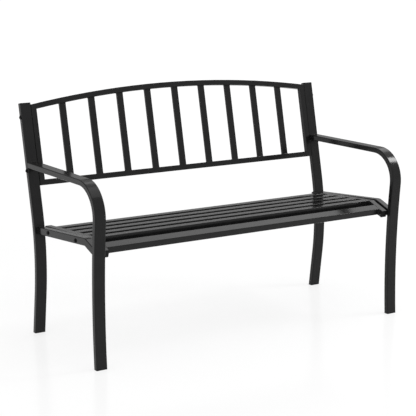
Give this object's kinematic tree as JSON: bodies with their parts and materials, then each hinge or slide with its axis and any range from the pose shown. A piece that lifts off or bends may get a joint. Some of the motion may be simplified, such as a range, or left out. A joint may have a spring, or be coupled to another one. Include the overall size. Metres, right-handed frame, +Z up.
{
  "type": "garden bench",
  "caption": "Black steel garden bench with a slatted seat, an arched back of upright spindles and bent tube armrests that run down into the front legs.",
  "frame": {"origin": "on the floor, under the middle of the bench's outline", "axes": "+X along the bench to the right as seen from in front, +Y to the rear, +Z up; the front faces -Y"},
  "size_m": [1.279, 0.5934, 0.8625],
  "materials": {
    "frame": "black satin powder coat",
    "plastic": "matt black",
    "fastener": "black oxide, satin",
    "zinc": "zinc plated"
  },
  "bodies": {
    "root": {"back_bolts": "fastener", "back_bottom_rail": "frame", "back_insert_nuts": "zinc", "back_left_stile": "frame", "back_right_stile": "frame", "back_spindle_1": "frame", "back_spindle_2": "frame", "back_spindle_3": "frame", "back_spindle_4": "frame", "back_spindle_5": "frame", "back_spindle_6": "frame", "back_spindle_7": "frame", "back_spindle_8": "frame", "back_spindle_9": "frame", "back_top_rail": "frame", "back_washers": "fastener", "left_back_foot_plug": "plastic", "left_back_post": "frame", "left_front_foot_plug": "plastic", "left_front_leg_arm": "frame", "left_post_cap": "plastic", "left_seat_rail": "frame", "right_back_foot_plug": "plastic", "right_back_post": "frame", "right_front_foot_plug": "plastic", "right_front_leg_arm": "frame", "right_post_cap": "plastic", "right_seat_rail": "frame", "seat_bolts": "fastener", "seat_centre_stay": "frame", "seat_front_slat": "frame", "seat_insert_nuts": "zinc", "seat_left_side_bar": "frame", "seat_right_side_bar": "frame", "seat_side_bar_plugs": "plastic", "seat_slat_1": "frame", "seat_slat_2": "frame", "seat_slat_3": "frame", "seat_slat_4": "frame", "seat_slat_5": "frame", "seat_washers": "fastener"}
  },
  "joints": []
}
